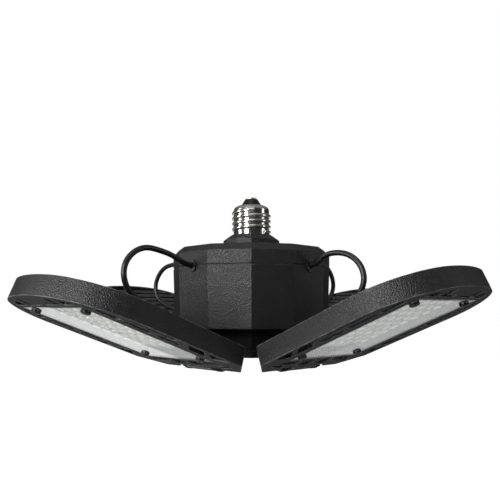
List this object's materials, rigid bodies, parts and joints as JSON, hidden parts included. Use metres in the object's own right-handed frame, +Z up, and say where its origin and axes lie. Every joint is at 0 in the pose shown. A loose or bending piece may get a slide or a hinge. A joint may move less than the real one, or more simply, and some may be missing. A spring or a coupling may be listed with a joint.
{
  "type": "folding garage light",
  "caption": "Black garage light with a screw base, a faceted driver housing and folding LED panels on hinges, each fed by a short cable loop.",
  "frame": {"origin": "top of the centre contact of the screw base, on the lamp's axis", "axes": "+Z up along the screw base's axis towards the lampholder; the panels lie along +X, +Y, -X and -Y"},
  "size_m": [0.3162, 0.3186, 0.1142],
  "materials": {
    "contact_metal": "dull tinned contact",
    "black_insulator": "moulded insulator",
    "nickel": "nickel-plated, bright",
    "black_casting": "fine pebbled texture",
    "dark_steel": "black oxide",
    "cable_rubber": "smooth black sheath",
    "circuit_board": "green solder mask",
    "winding_tape": "yellow winding tape",
    "ferrite": "ferrite",
    "capacitor_sleeve": "sleeved cans",
    "copper_winding": "enamelled copper",
    "moulded_black": "moulded package",
    "ceramic": "ceramic tube",
    "socket_plastic": "moulded connector",
    "lead_brown": "insulated lead",
    "lead_blue": "insulated lead",
    "clear_cover": "clear, glossy",
    "white_board": "white solder mask",
    "led_lens": "phosphor gel"
  },
  "bodies": {
    "lamp_body": {"centre_contact": "contact_metal", "base_insulator": "black_insulator", "screw_shell": "nickel", "upper_cap": "black_casting", "driver_housing": "black_casting", "hinge_hub": "black_casting", "cap_screws": "dark_steel", "board_screws": "dark_steel", "hub_screws": "dark_steel", "hinge_pins": "dark_steel", "hinge_nuts": "dark_steel", "friction_washers": "dark_steel", "cable_collars": "cable_rubber", "driver_board": "circuit_board", "transformer_winding": "winding_tape", "transformer_core": "ferrite", "driver_capacitors": "capacitor_sleeve", "input_choke": "copper_winding", "bridge_rectifier": "moulded_black", "switching_transistor": "moulded_black", "controller_chips": "moulded_black", "line_fuse": "ceramic", "output_sockets": "socket_plastic", "live_lead": "lead_brown", "neutral_lead": "lead_blue", "output_leads": "cable_rubber", "panel_cable_right": "cable_rubber", "panel_cable_back": "cable_rubber", "panel_cable_left": "cable_rubber", "panel_cable_front": "cable_rubber"},
    "panel_right": {"panel_frame_right": "black_casting", "cover_lens_right": "clear_cover", "cover_screws_right": "dark_steel", "led_board_right": "white_board", "led_chips_right": "led_lens", "cable_grommet_right": "cable_rubber"},
    "panel_back": {"panel_frame_back": "black_casting", "cover_lens_back": "clear_cover", "cover_screws_back": "dark_steel", "led_board_back": "white_board", "led_chips_back": "led_lens", "cable_grommet_back": "cable_rubber"},
    "panel_left": {"panel_frame_left": "black_casting", "cover_lens_left": "clear_cover", "cover_screws_left": "dark_steel", "led_board_left": "white_board", "led_chips_left": "led_lens", "cable_grommet_left": "cable_rubber"},
    "panel_front": {"panel_frame_front": "black_casting", "cover_lens_front": "clear_cover", "cover_screws_front": "dark_steel", "led_board_front": "white_board", "led_chips_front": "led_lens", "cable_grommet_front": "cable_rubber"}
  },
  "joints": [
    {"name": "hinge_right", "type": "hinge", "parent": "lamp_body", "child": "panel_right", "pos_m": [0.0417, 0, -0.11065], "axis": [0, 1, 0], "range_deg": [0, 67.6], "deforming": ["panel_cable_right"]},
    {"name": "hinge_back", "type": "hinge", "parent": "lamp_body", "child": "panel_back", "pos_m": [0, 0.0417, -0.11065], "axis": [-1, 0, 0], "range_deg": [0, 66], "deforming": ["panel_cable_back"]},
    {"name": "hinge_left", "type": "hinge", "parent": "lamp_body", "child": "panel_left", "pos_m": [-0.0417, 0, -0.11065], "axis": [0, -1, 0], "range_deg": [0, 66.9], "deforming": ["panel_cable_left"]},
    {"name": "hinge_front", "type": "hinge", "parent": "lamp_body", "child": "panel_front", "pos_m": [0, -0.0417, -0.11065], "axis": [1, 0, 0], "range_deg": [0, 65.4], "deforming": ["panel_cable_front"]}
  ]
}
